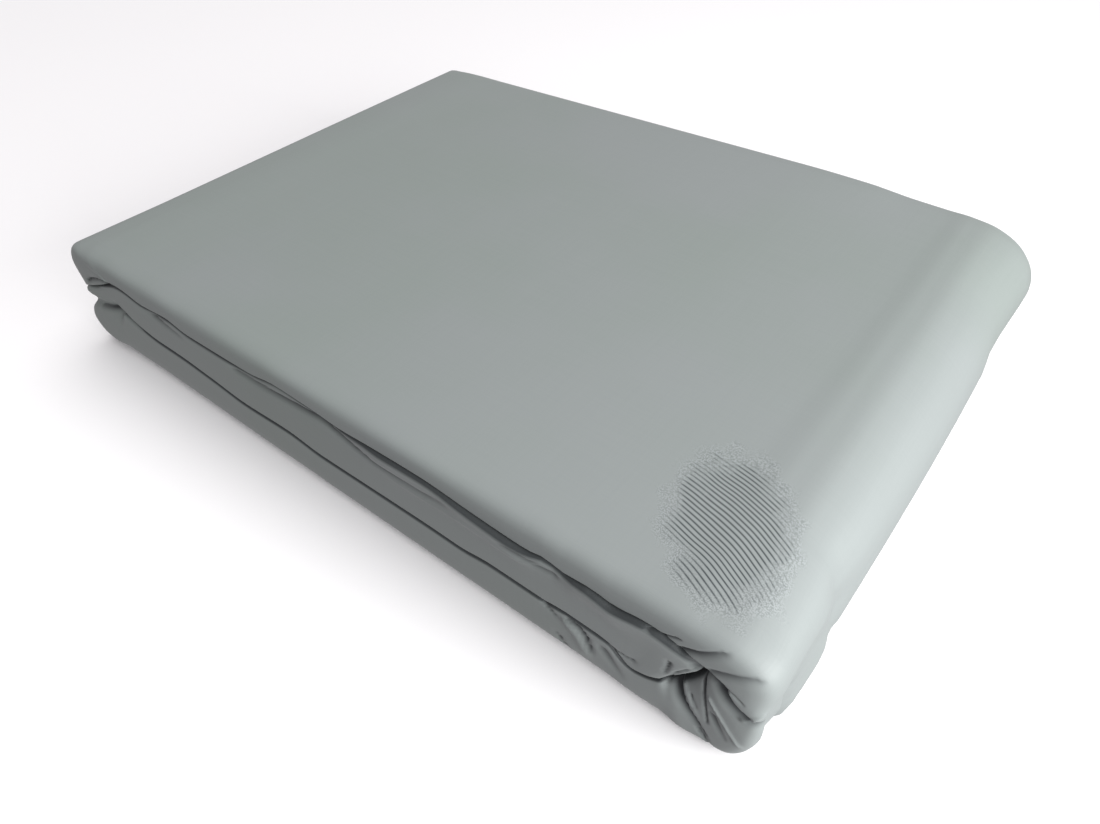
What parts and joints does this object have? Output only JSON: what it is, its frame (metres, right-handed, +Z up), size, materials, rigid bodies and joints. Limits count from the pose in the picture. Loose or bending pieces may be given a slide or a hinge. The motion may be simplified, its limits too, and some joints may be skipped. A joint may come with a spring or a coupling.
{
  "type": "folded flat sheet",
  "caption": "Thin bed sheet of plain satiny cloth, folded in layers and wrapped to a flat pack with a rounded end.",
  "frame": {"origin": "middle of the pack's box, on the surface it lies on", "axes": "+X along the long side towards the rolled end, +Y from the near side with the folds to the far side, +Z up"},
  "size_m": [0.3564, 0.2488, 0.0579],
  "materials": {
    "cloth": "smooth satiny weave, plain grey green"
  },
  "bodies": {
    "root": {"folded_sheet": "cloth"}
  },
  "joints": []
}
